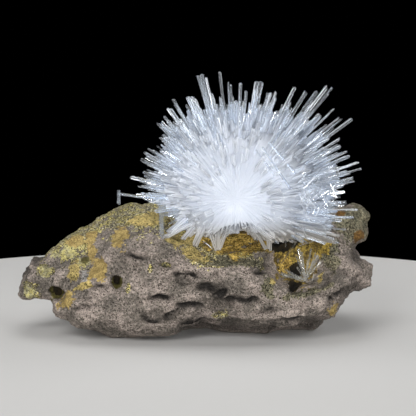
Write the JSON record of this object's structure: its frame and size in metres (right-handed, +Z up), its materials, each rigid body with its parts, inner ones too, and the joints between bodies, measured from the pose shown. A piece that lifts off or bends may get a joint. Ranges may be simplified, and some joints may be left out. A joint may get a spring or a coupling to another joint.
{
  "type": "scolecite specimen",
  "caption": "Radiating ball of clear and milky scolecite prisms seated in an open basin on a rugged lump of weathered basalt, with a small spray of needles in a side pocket.",
  "frame": {"origin": "on the surface that the lump rests on, under the middle of the specimen's outer box", "axes": "+X along the lump, from its pointed end to its broad end with the side pocket; +Y to the back, away from the pocket's mouth; +Z up, out of the rest face towards the spray"},
  "size_m": [0.1495, 0.1, 0.1086],
  "materials": {
    "basalt": "rough weathered vesicular basalt with yellow-green and ochre crusts",
    "scolecite": "vitreous, milky at the heart and clear at the crystal ends",
    "needles": "vitreous, clear"
  },
  "bodies": {
    "root": {"matrix_rock": "basalt", "scolecite_spray": "scolecite", "pocket_crystals": "needles"}
  },
  "joints": []
}
